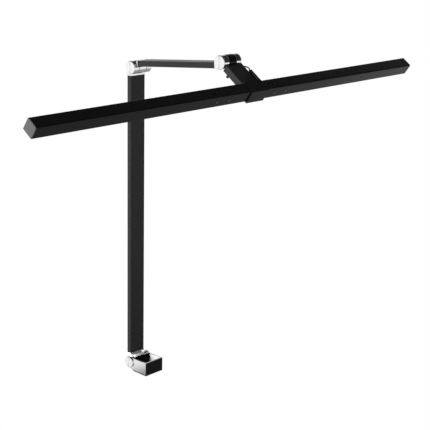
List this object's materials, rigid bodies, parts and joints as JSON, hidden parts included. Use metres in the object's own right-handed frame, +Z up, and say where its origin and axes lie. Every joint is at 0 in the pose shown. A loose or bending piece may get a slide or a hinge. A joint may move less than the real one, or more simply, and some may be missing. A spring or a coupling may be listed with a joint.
{
  "type": "picture light",
  "caption": "Slim black bar light on a folding arm: a square LED bar held by a collar, a short arm and a flat tube post with round friction hinges, standing on a bright sleeve bracket.",
  "frame": {"origin": "centre of the bracket's socket on the bracket's bottom plane", "axes": "+X along the LED bar and every hinge pin, -Y the way the arm reaches from the post, +Z up the post"},
  "size_m": [1.052, 0.3603, 0.7422],
  "materials": {
    "chrome_casting": "polished",
    "chrome_cap": "polished",
    "black_gloss": "gloss",
    "black_rubber": "matte",
    "steel_hardware": "satin",
    "black_screw": "satin",
    "black_tube": "satin powder coat",
    "black_casting": "satin powder coat",
    "black_housing": "fine texture",
    "black_anodised": "satin black anodised",
    "bar_end": "satin",
    "bare_aluminium": "milled",
    "lead_jacket": "matte",
    "circuit_board": "solder mask",
    "board_parts": "moulded",
    "led_phosphor": "matte",
    "opal_lens": "opal, diffusing"
  },
  "bodies": {
    "bracket": {"mounting_sleeve": "chrome_casting", "sleeve_front_plate": "black_gloss", "socket_back_pad": "black_rubber", "sleeve_set_screws": "steel_hardware", "base_hinge_bolt": "steel_hardware", "base_hinge_nut": "steel_hardware", "base_friction_washers": "steel_hardware", "base_hinge_caps": "chrome_cap"},
    "post": {"post_foot_knuckle": "chrome_casting", "post_tube": "black_tube", "post_top_fork": "chrome_casting", "post_screws": "black_screw", "post_lead": "lead_jacket", "power_inlet": "black_housing", "inlet_pin": "steel_hardware", "elbow_hinge_bolt": "steel_hardware", "elbow_hinge_nut": "steel_hardware", "elbow_friction_washers": "steel_hardware", "elbow_hinge_caps": "chrome_cap"},
    "arm": {"arm_root_knuckle": "chrome_casting", "arm_tube": "black_tube", "arm_tip_fork": "chrome_casting", "arm_screws": "black_screw", "arm_lead": "lead_jacket", "head_hinge_bolt": "steel_hardware", "head_hinge_nut": "steel_hardware", "head_friction_washers": "steel_hardware", "head_hinge_caps": "chrome_cap"},
    "head": {"head_knuckle": "black_casting", "knuckle_screws": "black_screw", "head_housing": "black_housing", "head_cover": "black_housing", "cover_screws": "black_screw", "driver_board": "circuit_board", "driver_parts": "board_parts", "button_switch": "board_parts", "head_lead": "lead_jacket", "lead_guard": "black_housing", "collar_body": "black_casting", "collar_screws": "black_screw", "collar_strap": "black_casting", "strap_screws": "black_screw", "bar_profile": "black_anodised", "bar_cap_left": "bar_end", "bar_cap_right": "bar_end", "bar_inner_blocks": "bare_aluminium", "bar_front_screws": "black_screw", "bar_top_screws": "black_screw", "led_board": "circuit_board", "leds": "led_phosphor", "diffuser": "opal_lens"},
    "button": {"push_button": "black_housing"}
  },
  "joints": [
    {"name": "base_tilt", "type": "hinge", "parent": "bracket", "child": "post", "pos_m": [0, 0.033, 0.019], "axis": [1, 0, 0], "range_deg": [-90, 40]},
    {"name": "elbow", "type": "hinge", "parent": "post", "child": "arm", "pos_m": [0, 0.033, 0.6875], "axis": [1, 0, 0], "range_deg": [-80, 65]},
    {"name": "head_tilt", "type": "hinge", "parent": "arm", "child": "head", "pos_m": [0, -0.22317, 0.72825], "axis": [1, 0, 0], "range_deg": [-45, 40]},
    {"name": "button_press", "type": "slide", "parent": "head", "child": "button", "axis": [0, -0.5736, 0.8192], "range_m": [0, 0.001], "stiffness_N_per_m": 600, "springref_m": -0.0005}
  ]
}
